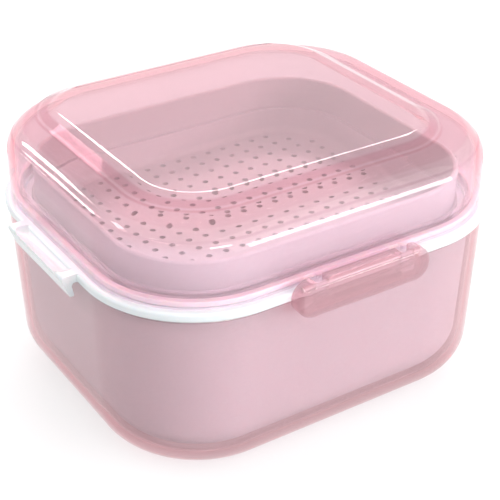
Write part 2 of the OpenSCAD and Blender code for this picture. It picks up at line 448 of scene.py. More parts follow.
def bumped(tree: Tree, height: bpy.types.NodeSocket, shader: Any, strength: float, depth: float) -> None:
    """Adds a bump to a shader.

    Args:
        tree: The material's tree.
        height: What the bump reads.
        shader: The shader it feeds.
        strength: Strength of the bump.
        depth: Its depth in millimetres.
    """
    bump = tree.add("ShaderNodeBump", Strength=strength, Distance=depth * MM)
    tree.link(height, bump.inputs["Height"])
    tree.link(bump.outputs["Normal"], shader.inputs["Normal"])


def tier_marks() -> bpy.types.NodeTree:
    """Painted light and shade for a two-tier shell: its slope gets two bands of darker, deeper tint as painted
    shade, and its wall below a paler tint as painted light.

    Returns:
        A node group with the inputs Low, High, Plain, Deep and Wall (metres and
        colours) and the outputs Tint and Shine. Tint carries the painted shade and
        light. Shine is less where the lower tier is level, on its outer face and
        2 mm below on its inner face.
    """
    group = bpy.data.node_groups.get("tier_marks")
    if group:
        return group
    group = bpy.data.node_groups.new("tier_marks", "ShaderNodeTree")
    for name in ("Low", "High"):
        group.interface.new_socket(name, in_out="INPUT", socket_type="NodeSocketFloat")
    for name in ("Plain", "Deep", "Wall"):
        group.interface.new_socket(name, in_out="INPUT", socket_type="NodeSocketColor")
    group.interface.new_socket("Tint", in_out="OUTPUT", socket_type="NodeSocketColor")
    group.interface.new_socket("Shine", in_out="OUTPUT", socket_type="NodeSocketFloat")
    tree = Tree(group)
    start, end = tree.add("NodeGroupInput"), tree.add("NodeGroupOutput")
    place_of = tree.add("ShaderNodeTexCoord")
    axes = tree.add("ShaderNodeSeparateXYZ")
    tree.link(place_of.outputs["Object"], axes.inputs[0])

    def step(tier: str, shift: float, width: float) -> bpy.types.NodeSocket:
        """0 below a height and 1 above it, with a soft change."""
        above = tree.add("ShaderNodeMath", {"operation": "SUBTRACT"})
        tree.link(axes.outputs["Z"], above.inputs[0])
        tree.link(start.outputs[tier], above.inputs[1])
        span = tree.add("ShaderNodeMapRange", {"interpolation_type": "SMOOTHSTEP"})
        tree.link(above.outputs[0], span.inputs["Value"])
        span.inputs["From Min"].default_value = shift * MM
        span.inputs["From Max"].default_value = (shift + width) * MM
        return span.outputs["Result"]

    def between(low: bpy.types.NodeSocket, high: bpy.types.NodeSocket) -> bpy.types.NodeSocket:
        """1 between two steps."""
        both = tree.add("ShaderNodeMath", {"operation": "SUBTRACT", "use_clamp": True})
        tree.link(low, both.inputs[0])
        tree.link(high, both.inputs[1])
        return both.outputs[0]

    shine = tree.add("ShaderNodeMath", {"operation": "SUBTRACT"})
    shine.inputs[0].default_value = 1.0
    tree.link(between(step("Low", -0.5, 0.25), step("Low", 0.05, 0.1)), shine.inputs[1])
    inside = tree.add("ShaderNodeMath", {"operation": "SUBTRACT"})
    tree.link(shine.outputs[0], inside.inputs[0])
    tree.link(between(step("Low", -2.5, 0.25), step("Low", -1.95, 0.1)), inside.inputs[1])
    # Painted shade: a darker, deeper tint in a band at the slope's foot and another just under its upper edge.
    painted_shade_bands = tree.add("ShaderNodeMath", {"operation": "ADD", "use_clamp": True})
    tree.link(between(step("Low", 0.02, 0.12), step("Low", 0.22, 0.2)), painted_shade_bands.inputs[0])
    tree.link(between(step("High", -1.7, 0.35), step("High", -0.85, 0.35)), painted_shade_bands.inputs[1])
    mix = tree.add("ShaderNodeMix", {"data_type": "RGBA"})
    tree.link(painted_shade_bands.outputs[0], mix.inputs["Factor"])
    tree.link(start.outputs["Plain"], mix.inputs[6])
    tree.link(start.outputs["Deep"], mix.inputs[7])
    # Painted light: below the lower tier the wall fades, from 2 mm to 5 mm down, to the paler Wall tint.
    wall = tree.add("ShaderNodeMix", {"data_type": "RGBA"})
    tree.link(step("Low", -5.0, 3.0), wall.inputs["Factor"])
    tree.link(start.outputs["Wall"], wall.inputs[6])
    tree.link(mix.outputs[2], wall.inputs[7])
    tree.link(wall.outputs[2], end.inputs["Tint"])
    tree.link(inside.outputs[0], end.inputs["Shine"])
    return group


@dataclass(frozen=True)
class Tiers:
    """Where a shell steps up, and the painted shade of its slope and the painted light of its wall.

    Attributes:
        low: Height of the lower tier in millimetres.
        high: Height of the upper tier.
        deep: Darker, deeper tint of the painted shade in two bands on the slope, at its foot and just under
            its upper edge.
        wall: Paler tint painted as light on the wall, from 2 to 5 mm below the lower tier downwards.
    """

    low: float
    high: float
    deep: Colour
    wall: Colour


@dataclass(frozen=True)
class ClearPlastic:
    """Tinted clear plastic that light passes through.

    Attributes:
        name: Name of the material.
        tint: Colour of its surface.
        depth_tint: Colour that it takes on where it is thick.
        density: How quickly it does so, per metre.
        shade: Colour of the light that it lets through from the lamps.
        clear: Share of the light that passes straight on at its surface.
        low: Lowest roughness.
        high: Highest roughness.
        tiers: The steps of a two-tier shell, with the painted shade of its slope and the painted light of its
            wall, or None.
    """

    name: str
    tint: Colour
    depth_tint: Colour
    density: float
    shade: Colour
    clear: float = 0.9
    low: float = 0.02
    high: float = 0.05
    tiers: Tiers | None = None

    def make(self) -> bpy.types.Material:
        """Builds the material."""
        material = bpy.data.materials.new(self.name)
        material.use_nodes = True
        tree = Tree(material.node_tree)
        out = tree.add("ShaderNodeOutputMaterial")
        skin = placed(tree, moulded_skin(), Scale=45.0, Low=self.low, High=self.high)
        shader = tree.add("ShaderNodeBsdfPrincipled")
        shader.inputs["Base Color"].default_value = self.tint
        shader.inputs["Transmission Weight"].default_value = self.clear
        shader.inputs["IOR"].default_value = 1.02
        shader.inputs["Coat Weight"].default_value = 1.0
        shader.inputs["Coat Roughness"].default_value = 0.03
        # A two-tier shell's Tint brings painted shade on its slope and painted light on its wall; its Shine
        # lowers the coat where the lower tier is level.
        if self.tiers:
            low, high = self.tiers.low * MM, self.tiers.high * MM
            colours = {"Plain": self.tint, "Deep": self.tiers.deep, "Wall": self.tiers.wall}
            marks = placed(tree, tier_marks(), Low=low, High=high, **colours)
            tree.link(marks.outputs["Tint"], shader.inputs["Base Color"])
            tree.link(marks.outputs["Shine"], shader.inputs["Coat Weight"])
        tree.link(skin.outputs["Roughness"], shader.inputs["Roughness"])
        bumped(tree, skin.outputs["Height"], shader, 0.12, 0.05)
        passing = tree.add("ShaderNodeBsdfTransparent", Color=self.shade)
        path = tree.add("ShaderNodeLightPath")
        mix = tree.add("ShaderNodeMixShader")
        tree.link(path.outputs["Is Shadow Ray"], mix.inputs["Fac"])
        tree.link(shader.outputs["BSDF"], mix.inputs[1])
        tree.link(passing.outputs["BSDF"], mix.inputs[2])
        tree.link(mix.outputs["Shader"], out.inputs["Surface"])
        volume = tree.add("ShaderNodeVolumeAbsorption", Color=self.depth_tint, Density=self.density)
        tree.link(volume.outputs["Volume"], out.inputs["Volume"])
        return material


@dataclass(frozen=True)
class FrostedPlastic:
    """Frosted plastic that scatters light.

    Attributes:
        name: Name of the material.
        pale: Its lighter colour.
        deep: Its darker colour.
        roughness: Roughness of its grain.
        scatter: How much light goes under its skin.
    """

    name: str
    pale: Colour
    deep: Colour
    roughness: float = 0.5
    scatter: float = 0.25

    def make(self) -> bpy.types.Material:
        """Builds the material."""
        material = bpy.data.materials.new(self.name)
        material.use_nodes = True
        tree = Tree(material.node_tree)
        out = tree.add("ShaderNodeOutputMaterial")
        grain = placed(tree, frost_grain(), Grain=1400.0, Cloud=22.0, Pale=self.pale, Deep=self.deep)
        shader = tree.add("ShaderNodeBsdfPrincipled")
        shader.inputs["Roughness"].default_value = self.roughness
        shader.inputs["Subsurface Weight"].default_value = self.scatter
        shader.inputs["Subsurface Radius"].default_value = (1.0, 0.6, 0.6)
        shader.inputs["Subsurface Scale"].default_value = 0.002
        tree.link(grain.outputs["Color"], shader.inputs["Base Color"])
        bumped(tree, grain.outputs["Height"], shader, 0.25, 0.06)
        tree.link(shader.outputs["BSDF"], out.inputs["Surface"])
        return material


@dataclass(frozen=True)
class GlossPlastic:
    """Opaque moulded plastic or rubber.

    Attributes:
        name: Name of the material.
        pale: Its lighter colour.
        deep: Its darker colour.
        low: Lowest roughness.
        high: Highest roughness.
        scatter: How much light goes under its skin.
    """

    name: str
    pale: Colour
    deep: Colour
    low: float
    high: float
    scatter: float = 0.1

    def make(self) -> bpy.types.Material:
        """Builds the material."""
        material = bpy.data.materials.new(self.name)
        material.use_nodes = True
        tree = Tree(material.node_tree)
        out = tree.add("ShaderNodeOutputMaterial")
        skin = placed(tree, moulded_skin(), Scale=80.0, Low=self.low, High=self.high)
        grain = placed(tree, frost_grain(), Grain=500.0, Cloud=18.0, Pale=self.pale, Deep=self.deep)
        shader = tree.add("ShaderNodeBsdfPrincipled")
        shader.inputs["Subsurface Weight"].default_value = self.scatter
        shader.inputs["Subsurface Scale"].default_value = 0.001
        tree.link(grain.outputs["Color"], shader.inputs["Base Color"])
        tree.link(skin.outputs["Roughness"], shader.inputs["Roughness"])
        bumped(tree, skin.outputs["Height"], shader, 0.1, 0.04)
        tree.link(shader.outputs["BSDF"], out.inputs["Surface"])
        return material


@dataclass(frozen=True)
class DrawnSteel:
    """Steel wire with fine marks round it.

    Attributes:
        name: Name of the material.
        colour: Colour of the metal.
    """

    name: str
    colour: Colour

    def make(self) -> bpy.types.Material:
        """Builds the material."""
        material = bpy.data.materials.new(self.name)
        material.use_nodes = True
        tree = Tree(material.node_tree)
        out = tree.add("ShaderNodeOutputMaterial")
        skin = placed(tree, moulded_skin(), Scale=900.0, Low=0.18, High=0.36)
        shader = tree.add("ShaderNodeBsdfPrincipled", Metallic=1.0)
        shader.inputs["Base Color"].default_value = self.colour
        tree.link(skin.outputs["Roughness"], shader.inputs["Roughness"])
        bumped(tree, skin.outputs["Height"], shader, 0.15, 0.02)
        tree.link(shader.outputs["BSDF"], out.inputs["Surface"])
        return material


FINISHES = {
    Slot.TUB: ClearPlastic(
        "tub_pink", (0.72, 0.615, 0.635, 1), (0.98, 0.53, 0.59, 1), 65.0, (0.96, 0.9, 0.92, 1)
    ),
    Slot.LID: ClearPlastic(
        "lid_pink", (0.79, 0.695, 0.715, 1), (1.0, 0.5, 0.57, 1), 80.0, (0.96, 0.9, 0.92, 1),
        # The lid's darker slope bands are painted shade and its paler wall tint is painted light.
        tiers=Tiers(60.4, 62.4, (0.64, 0.4, 0.46, 1), (0.9, 0.85, 0.9, 1)),
    ),
    Slot.LATCH: ClearPlastic(
        "latch_pink", (0.74, 0.58, 0.615, 1), (1.0, 0.5, 0.55, 1), 70.0, (0.93, 0.8, 0.83, 1), 0.8
    ),
    Slot.LINER: FrostedPlastic("liner_frost", (0.79, 0.85, 0.9, 1), (0.72, 0.78, 0.82, 1)),
    Slot.TRAY: FrostedPlastic("tray_frost", (0.52, 0.51, 0.53, 1), (0.47, 0.45, 0.48, 1)),
    Slot.RING: GlossPlastic("ring_white", (0.94, 0.99, 1.0, 1), (0.88, 0.96, 1.0, 1), 0.12, 0.22),
    Slot.SEAL: GlossPlastic("seal_milky", (0.85, 0.78, 0.8, 1), (0.8, 0.72, 0.75, 1), 0.3, 0.45, 0.4),
    Slot.PIN: DrawnSteel("pin_steel", (0.72, 0.73, 0.75, 1)),
}


def place(piece: bpy.types.Object, slot: Slot, body: Body, *nodes: str) -> bpy.types.Object:
    """Gives a finished piece its material and its body, and hides the CAD nodes that it stands for.

    Args:
        piece: The finished piece.
        slot: Its material slot.
        body: The body that it rides on.
        *nodes: The CAD nodes that it replaces.

    Returns:
        The piece.
    """
    piece.data.materials.clear()
    piece.data.materials.append(finish_of(slot))
    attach(piece, body.value)
    if nodes:
        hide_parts(*nodes)
    return piece


def finish_of(slot: Slot) -> bpy.types.Material:
    """The material of a slot, built when it is first asked for."""
    finish = FINISHES[slot]
    return bpy.data.materials.get(finish.name) or finish.make()


# ---------------------------------------------------------------- the case


CASE = Outline(23.5, 17.5, 26.5)
TUB_RIM = 41.4
RING_TOP = 43.6
HINGE_AXIS: Point = (47.4, 43.0)
LATCH_AXIS: Point = (-45.6, 44.6)


@dataclass
class Tub:
    """The clear outer tub with its catch and hinge knuckles."""

    rim_in: float = 0.6
    foot_in: float = 1.8
    wall: float = 2.0
    floor: float = 2.2
    edge: float = 10.0
    step_in: float = 1.5
    step_drop: float = 1.0
    lip: float = 0.35
    knuckle: float = 2.6
    arm_in: float = 12.2
    arm_out: float = 19.0
    bore: float = 1.04

    def section(self) -> list[Point]:
        """The tub's wall, from the middle of its underside to its inner floor."""
        foot, wall = self.foot_in + self.edge, self.wall
        outer = arc((foot, self.edge), self.edge, -90, 0, 12)
        top = arc((self.rim_in + self.lip, TUB_RIM - self.lip), self.lip, 0, 90, 4)
        ledge = [
            (self.step_in, TUB_RIM),
            (self.step_in, TUB_RIM - self.step_drop),
            (self.rim_in + wall, TUB_RIM - self.step_drop),
        ]
        inner = arc((foot, self.edge + 0.2), self.edge - wall, 0, -90, 12)
        return outer + top + ledge + inner

    def knuckles(self) -> list[bmesh.types.BMesh]:
        """The two arms that hold the hinge pin."""
        y, z = HINGE_AXIS
        arm = [
            (42.2, 28.4), (42.2, 39.8), (y - 2.2, z - 1.4), (y, z),
            (y + 2.55, z - 0.5), (y + 1.4, z - 4.0),
        ]
        made = []
        for x0, x1 in ((-self.arm_out, -self.arm_in), (self.arm_in, self.arm_out)):
            made += [bar(x0, x1, arm), rod(x0, x1, HINGE_AXIS, self.knuckle)]
        return made

    def build(self) -> bpy.types.Object:
        """Builds the tub."""
        solid = Solid("tub", sweep(CASE, self.section()))
        catch = [(-42.8, 39.4), (-45.0, 39.4), (-45.0, 39.8), (-44.4, 40.4), (-42.8, 40.4)]
        solid.join(bar(-11, 11, catch), *self.knuckles())
        solid.take(rod(-20, 20, HINGE_AXIS, self.bore))
        return place(solid.finish(12.0), Slot.TUB, Body.BASE, "base_tub")


@dataclass
class Liner:
    """The frosted soak liner that hangs in the tub."""

    top_in: float = 3.4
    foot_in: float = 4.6
    foot: float = 3.0
    wall: float = 2.3
    edge: float = 8.8
    flange_in: float = 1.7
    flange: float = 1.0

    def section(self) -> list[Point]:
        """The liner's wall, from the middle of its underside to its inner floor."""
        hub = self.foot_in + self.edge
        outer = arc((hub, self.foot + self.edge), self.edge, -90, 0, 12)
        under = TUB_RIM - self.flange
        rim = [(self.top_in, under), (self.flange_in, under), (self.flange_in, TUB_RIM)]
        inside = self.top_in + self.wall
        inner = arc((hub, self.foot + self.edge), self.edge - self.wall, 0, -90, 12)
        return outer + rim + [(inside - 0.4, TUB_RIM), (inside, TUB_RIM - 0.4)] + inner

    def build(self) -> bpy.types.Object:
        """Builds the liner."""
        solid = Solid("liner", sweep(CASE, self.section()))
        return place(solid.finish(), Slot.LINER, Body.BASE, "inner_liner")


@dataclass
class CarryRing:
    """The white ring with its skirt, its seal groove and two finger grips."""

    edge: float = 0.7
    band_in: float = 4.6
    seat: float = 42.4
    mouth_in: float = 7.65
    skirt_in: float = 6.05
    skirt_foot: float = 36.8
    grip_length: float = 27.0
    grip_out: float = 3.4

    def section(self) -> list[Point]:
        """The closed section of the ring."""
        e = self.edge
        outer = arc((e, TUB_RIM + e), e, -90, 0, 5) + arc((e, RING_TOP - e), e, 0, 90, 5)
        seat = [
            (self.band_in - 0.2, RING_TOP), (self.band_in, RING_TOP - 0.2), (self.band_in, self.seat),
            (self.mouth_in - 0.3, self.seat), (self.mouth_in, self.seat - 0.3),
        ]
        skirt = [
            (self.mouth_in, self.skirt_foot), (self.skirt_in, self.skirt_foot),
            (self.skirt_in, 38.4), (self.skirt_in + 1, 38.4),
            (self.skirt_in + 1, 39.8), (self.skirt_in, 39.8), (self.skirt_in, TUB_RIM),
        ]
        return outer + seat + skirt

    def grip(self) -> tuple[bmesh.types.BMesh, list[bmesh.types.BMesh]]:
        """One finger grip on the right side, and what is scooped out of it."""
        edge, lip = 50.0, 50.0 + self.grip_out
        profile = [
            (edge - 1.5, TUB_RIM + 0.2), (edge - 1.5, RING_TOP), (lip - 0.8, RING_TOP),
            (lip - 0.5, RING_TOP - 0.06), (lip - 0.2, RING_TOP - 0.26), (lip - 0.04, RING_TOP - 0.55),
            (lip - 0.02, RING_TOP - 0.85), (lip - 1.6, TUB_RIM - 2.9), (lip - 2.6, TUB_RIM - 2.9),
            (lip - 2.2, TUB_RIM - 0.4), (lip - 2.6, TUB_RIM + 0.2),
        ]
        half = self.grip_length / 2
        tab = bar(-half, half, profile)
        turned(tab, Matrix(((0, 1, 0, 0), (-1, 0, 0, 0), (0, 0, 1, 0), (0, 0, 0, 1))))
        radius, reach = 5.0, (self.grip_length - 10) / 2
        scoop = bmesh.new()
        bmesh.ops.create_uvsphere(scoop, u_segments=48, v_segments=24, radius=radius)
        for vertex in scoop.verts:
            vertex.co.y += math.copysign(reach, vertex.co.y) if abs(vertex.co.y) > 1e-6 else 0.0
        bmesh.ops.translate(scoop, vec=(edge + 1.2, 0, RING_TOP + radius - 0.9), verts=scoop.verts)
        return tab, [scoop]

    def build(self) -> bpy.types.Object:
        """Builds the ring with both grips."""
        solid = Solid("ring", sweep(CASE, self.section(), closed=True))
        for side in (0, 180):
            half_turn = Matrix.Rotation(math.radians(side), 4, "Z")
            tab, scoops = self.grip()
            grip = Solid("grip", tab).take(*scoops)
            grip.object.data.transform(half_turn)
            solid.combine(grip, Cut.JOIN)
        return place(solid.finish(), Slot.RING, Body.BASE, "carry_ring")


@dataclass
class StrainerTray:
    """The frosted strainer tray with its grid of drain holes."""

    drop_in: float = 8.15
    foot_in: float = 8.85
    foot: float = 36.0
    floor: float = 37.2
    edge: float = 3.0
    wall: float = 1.3
    seat: float = 42.4
    seat_in: float = 6.4
    rim_in: float = 6.8
    top: float = 51.6
    hole: float = 1.5
    pitch: float = 4.4
    margin: float = 4.0

    def section(self) -> list[Point]:
        """The tray's wall, from the middle of its underside to its inner floor."""
        hub, wall = self.foot_in + self.edge, self.wall
        bead = wall / 2
        outer = arc((hub, self.foot + self.edge), self.edge, -90, 0, 6)
        ledge = [(self.drop_in, self.seat), (self.seat_in, self.seat)]
        ledge += arc((self.seat_in + 0.25, self.seat + 0.75), 0.25, 0, 90, 3)
        ledge += [(self.rim_in + 0.3, self.seat + 1)]
        rim = arc((self.rim_in + bead, self.top - bead), bead, 0, 180, 8)
        inner = [(self.rim_in + wall + 0.3, self.seat + 1), (self.drop_in + wall, self.seat + 1)]
        floor = arc((hub, self.foot + self.edge), self.edge - wall, 0, -90, 6)
        floor = [(x, max(z, self.floor)) for x, z in floor]
        return outer + ledge + rim + inner + floor

    def perforate(self, solid: Solid) -> None:
        """Drills the grid of drain holes with a geometry node tree.

        Args:
            solid: The tray, before its holes.
        """
        tree = drill_tree()
        modifier = solid.object.modifiers.new("holes", "NODES")
        modifier.node_group = tree
        values = {
            "Pitch": self.pitch, "Hole": self.hole, "Height": self.floor - self.foot + 2.0,
            "Level": (self.floor + self.foot) / 2, "Columns": 23, "Rows": 19,
            "Centre X": 23.5, "Centre Y": 17.5, "Reach": 26.5 - self.drop_in - self.margin,
            "Material": finish_of(Slot.TRAY),
        }
        for item in tree.interface.items_tree:
            if item.item_type == "SOCKET" and item.in_out == "INPUT" and item.name in values:
                modifier[item.identifier] = values[item.name]
        solid.settle()

    def build(self) -> bpy.types.Object:
        """Builds the tray."""
        solid = Solid("tray", sweep(CASE, self.section()))
        self.perforate(solid)
        return place(solid.finish(), Slot.TRAY, Body.TRAY, "strainer_tray")


def drill_tree() -> bpy.types.NodeTree:
    """The geometry node tree that drills a grid of round holes.

    Returns:
        A tree whose inputs are the mesh to drill, the holes' pitch, diameter,
        height, level and numbers, the outline's corner centres, how far from
        them a hole may lie, and the material.
    """
    group = bpy.data.node_groups.new("drill_grid", "GeometryNodeTree")
    add_socket = group.interface.new_socket
    add_socket("Mesh", in_out="INPUT", socket_type="NodeSocketGeometry")
    for label in ("Pitch", "Hole", "Height", "Level", "Centre X", "Centre Y", "Reach"):
        add_socket(label, in_out="INPUT", socket_type="NodeSocketFloat")
    for label in ("Columns", "Rows"):
        add_socket(label, in_out="INPUT", socket_type="NodeSocketInt")
    add_socket("Material", in_out="INPUT", socket_type="NodeSocketMaterial")
    add_socket("Mesh", in_out="OUTPUT", socket_type="NodeSocketGeometry")
    tree = Tree(group)
    given, out = tree.add("NodeGroupInput"), tree.add("NodeGroupOutput")

    def math_node(operation: str, a: Any, b: Any) -> Any:
        """A math node on two sockets or numbers, as its output."""
        node = tree.add("ShaderNodeMath", {"operation": operation})
        for socket, value in zip(node.inputs, (a, b)):
            if isinstance(value, (int, float)):
                socket.default_value = value
            else:
                tree.link(value, socket)
        return node.outputs[0]

    grid = tree.add("GeometryNodeMeshGrid")
    for size, count, vertices in (("Size X", "Columns", "Vertices X"), ("Size Y", "Rows", "Vertices Y")):
        spans = math_node("SUBTRACT", given.outputs[count], 1)
        tree.link(math_node("MULTIPLY", spans, given.outputs["Pitch"]), grid.inputs[size])
        tree.link(given.outputs[count], grid.inputs[vertices])
    place_of = tree.add("GeometryNodeInputPosition")
    parts = tree.add("ShaderNodeSeparateXYZ")
    tree.link(place_of.outputs[0], parts.inputs[0])
    past = []
    for axis, centre in (("X", "Centre X"), ("Y", "Centre Y")):
        away = math_node("ABSOLUTE", parts.outputs[axis], 0)
        past.append(math_node("MAXIMUM", math_node("SUBTRACT", away, given.outputs[centre]), 0))
    squares = [math_node("MULTIPLY", p, p) for p in past]
    distance = math_node("SQRT", math_node("ADD", *squares), 0)
    outside = math_node("GREATER_THAN", distance, given.outputs["Reach"])
    kept = tree.add("GeometryNodeDeleteGeometry", {"domain": "POINT"})
    tree.link(grid.outputs["Mesh"], kept.inputs["Geometry"])
    tree.link(outside, kept.inputs["Selection"])
    drill = tree.add("GeometryNodeMeshCylinder", {"fill_type": "NGON"}, Vertices=20)
    tree.link(math_node("MULTIPLY", given.outputs["Hole"], 0.5), drill.inputs["Radius"])
    tree.link(given.outputs["Height"], drill.inputs["Depth"])
    spots = tree.add("GeometryNodeInstanceOnPoints")
    tree.link(kept.outputs[0], spots.inputs["Points"])
    tree.link(drill.outputs["Mesh"], spots.inputs["Instance"])
    raised = tree.add("GeometryNodeTransform")
    lift = tree.add("ShaderNodeCombineXYZ")
    tree.link(given.outputs["Level"], lift.inputs["Z"])
    tree.link(spots.outputs[0], raised.inputs["Geometry"])
    tree.link(lift.outputs[0], raised.inputs["Translation"])
    solid_drills = tree.add("GeometryNodeRealizeInstances")
    tree.link(raised.outputs[0], solid_drills.inputs[0])
    bored = tree.add("GeometryNodeMeshBoolean", {"operation": "DIFFERENCE", "solver": "EXACT"})
    tree.link(given.outputs["Mesh"], bored.inputs["Mesh 1"])
    tree.link(solid_drills.outputs[0], bored.inputs["Mesh 2"])
    whole = tree.add("GeometryNodeRealizeInstances")
    dressed = tree.add("GeometryNodeSetMaterial")
    tree.link(bored.outputs["Mesh"], whole.inputs[0])
    tree.link(whole.outputs[0], dressed.inputs["Geometry"])
    tree.link(given.outputs["Material"], dressed.inputs["Material"])
    tree.link(dressed.outputs[0], out.inputs[0])
    return group


@dataclass
class Lid:
    """The two-tier clear lid: a rounded shoulder under a low raised top."""

    wall_in: float = 1.4
    wall: float = 2.0
    rim: float = 43.8
    rim_height: float = 2.6
    rim_in: float = 4.6
    shoulder: float = 60.4
    shoulder_edge: float = 6.2
    top: float = 62.4
    top_edge: float = 3.0
    slope: float = 5.0
    raised: Outline = Outline(22.0, 18.7, 18.0, 3.1)
    knuckle: float = 2.6
    knuckle_half: float = 11.8
    lug_x: float = 11.0
    lug_width: float = 2.6

    def shoulder_form(self, inset: float, foot: Sequence[Point]) -> bmesh.types.BMesh:
        """The lower tier, as a solid.

        Args:
            inset: Distance of the form inside the lid's outer face.
            foot: The section below the wall, from the middle outwards.

        Returns:
            A closed mesh with a level, rounded shoulder.
        """
        edge = self.shoulder_edge - inset
        hub = (self.wall_in + inset + edge, self.shoulder - inset - edge)
        return sweep(CASE, list(foot) + arc(hub, edge, 0, 90, 16))

    def raised_form(self, foot_in: float, top_in: float, drop: float, foot: float) -> bmesh.types.BMesh:
        """The raised top and the slope that leads up to it, as a solid.

        Args:
            foot_in: How far the slope's foot is set in.
            top_in: How far its upper edge is set in.
            drop: How far the whole form lies below the lid's outer face.
            foot: Height of its underside.

        Returns:
            A closed mesh.
        """
        edge = self.top_edge - drop
        tilt = math.atan2(self.top - self.shoulder, self.slope + top_in - foot_in)
        hub = (self.slope + top_in + edge * math.tan(tilt / 2), self.top - drop - edge)
        slope = [(foot_in, foot), (foot_in, self.shoulder - drop)]
        return sweep(self.raised, slope + arc(hub, edge, 90 - math.degrees(tilt), 90, 5))

    def shell(self) -> Solid:
        """The hollow two-tier shell with its thick rim and seal groove."""
        outer = Solid("lid", self.shoulder_form(0.0, [(self.wall_in, self.rim)]))
        outer.join(self.raised_form(0.0, 0.0, 0.0, self.shoulder - 1.6))
        inside = self.wall_in + self.wall
        step = self.rim + self.rim_height
        foot = [(self.rim_in, self.rim - 1), (self.rim_in, step), (inside, step)]
        inner = Solid("inner", self.shoulder_form(self.wall, foot))
        inner.join(self.raised_form(self.wall, 0.4, self.wall, self.shoulder - self.wall - 1))
        outer.combine(inner, Cut.TAKE)
        groove = [
            (self.wall_in + 0.8, self.rim - 1), (self.wall_in + 0.8, self.rim + 1.4),
            (self.rim_in - 0.7, self.rim + 1.4), (self.rim_in - 0.7, self.rim - 1),
        ]
        return outer.take(sweep(CASE, groove, closed=True))

    def fittings(self) -> list[bmesh.types.BMesh]:
        """The hinge knuckle and the two lugs of the latch."""
        y, z = HINGE_AXIS
        web = [
            (41.6, self.rim + 0.2), (41.6, self.rim + 5), (44.0, self.rim + 4.2),
            (y + 1, z + 2.4), (y, z), (y - 2.4, z + 1),
        ]
        half = self.knuckle_half
        made = [bar(-half, half, web), rod(-half, half, HINGE_AXIS, self.knuckle)]
        y, z = LATCH_AXIS
        arm = [(y, z - 0.6), (-41.6, z - 0.6), (-41.6, z + 0.6), (y, z + 0.6)]
        for x in (-self.lug_x, self.lug_x):
            x0, x1 = x - self.lug_width / 2, x + self.lug_width / 2
            made += [bar(x0, x1, arm), rod(x0, x1, LATCH_AXIS, 1.0, 32)]
        return made

    def build(self) -> bpy.types.Object:
        """Builds the lid."""
        solid = self.shell()
        solid.join(*self.fittings())
        solid.take(rod(-20, 20, HINGE_AXIS, 1.08), rod(-13, 13, LATCH_AXIS, 0.64, 24))
        return place(solid.finish(12.0), Slot.LID, Body.LID, "lid_shell")


@dataclass
class Latch:
    """The clear flap that hooks under the tub's catch."""

    half_width: float = 17.0
    corner: float = 3.95
    back: float = -44.3
    thick: float = 3.5
    foot: float = 38.2
    top: float = 46.2
    edge: float = 1.3
    plate: float = 1.5
    end: float = 2.0
    hook: float = 1.0

    def build(self) -> bpy.types.Object:
        """Builds the latch."""
        middle = (self.foot + self.top) / 2
        outline = Outline(
            self.half_width - self.corner, (self.top - self.foot) / 2 - self.corner, self.corner, steps=10
        )
        rim = [(0.0, 0.0)] + arc((self.edge, self.thick - self.edge), self.edge, 0, 90, 8)
        stand = Matrix.Translation((0, self.back, middle)) @ Matrix.Rotation(math.radians(90), 4, "X")
        solid = Solid("latch", turned(sweep(outline, rim), stand))
        inner = self.half_width - self.end
        front = self.back - self.thick + self.plate
        ceiling = LATCH_AXIS[1] - 1.4
        solid.join(block((-12, front - 0.5, self.foot), (12, self.back + 0.6, self.foot + self.hook)))
        solid.take(block((-inner, front, self.foot + self.hook), (inner, self.back + 1, ceiling)))
        for x in (-11.0, 11.0):
            low = (x - 1.6, LATCH_AXIS[0] - 1.2, ceiling - 1)
            solid.take(block(low, (x + 1.6, self.back + 1, self.top + 1)))
        solid.take(rod(-inner, inner, LATCH_AXIS, 0.64, 24))
        return place(solid.finish(), Slot.LATCH, Body.LATCH, "front_latch")


@dataclass
class Seals:
    """The two soft seals, swept round the case."""

    segments: int = 22

    def swept(self, name: str, inset: float, width: float, low: float, high: float, round_foot: bool) -> Solid:
        """One seal.

        Args:
            name: Name of the piece.
            inset: Distance of its outer face inside the case's outline.
            width: Its width.
            low: Height of its lower face.
            high: Height of its upper face.
            round_foot: True if its lower face is a rounded lip.

        Returns:
            The seal as a solid.
        """
        r = 0.25
        if round_foot:
            section = arc((inset + width / 2, low + 0.5), width / 2, -170, -10, 10)
            section = [(x, max(z, low)) for x, z in section]
            section += [(inset, high), (inset + width, high)]
        else:
            section = []
            for cx, cz, a in (
                (inset + r, low + r, -90), (inset + r, high - r, 0),
                (inset + width - r, high - r, 90), (inset + width - r, low + r, 180),
            ):
                section += arc((cx, cz), r, a, a + 90, 3)
        return Solid(name, sweep(CASE, section, closed=True))

    def build(self) -> list[bpy.types.Object]:
        """Builds both seals."""
        lid = self.swept("lid_gasket", 2.3, 1.5, 43.75, 45.1, False)
        ring = self.swept("ring_gasket", 5.95, 1.0, 38.5, 39.7, False)
        return [
            place(lid.finish(), Slot.SEAL, Body.LID, "lid_seal"),
            place(ring.finish(), Slot.SEAL, Body.BASE, "ring_seal"),
        ]


# ---------------------------------------------------------------- the studio


@dataclass
class Softbox:
    """An area lamp aimed at the case."""

    name: str
    place: Point3
    size: Point
    power: float
    aim: Point3 = (0.0, 0.0, 0.03)

    def build(self) -> bpy.types.Object:
        """Builds the lamp."""
        data = bpy.data.lights.new(self.name, "AREA")
        data.shape = "RECTANGLE"
        data.size, data.size_y = self.size
        data.energy = self.power
        lamp = bpy.data.objects.new(self.name, data)
        lamp.location = self.place
        towards = Vector(self.aim) - Vector(self.place)
        lamp.rotation_mode = "QUATERNION"
        lamp.rotation_quaternion = towards.to_track_quat("-Z", "Y")
        bpy.context.scene.collection.objects.link(lamp)
        return lamp


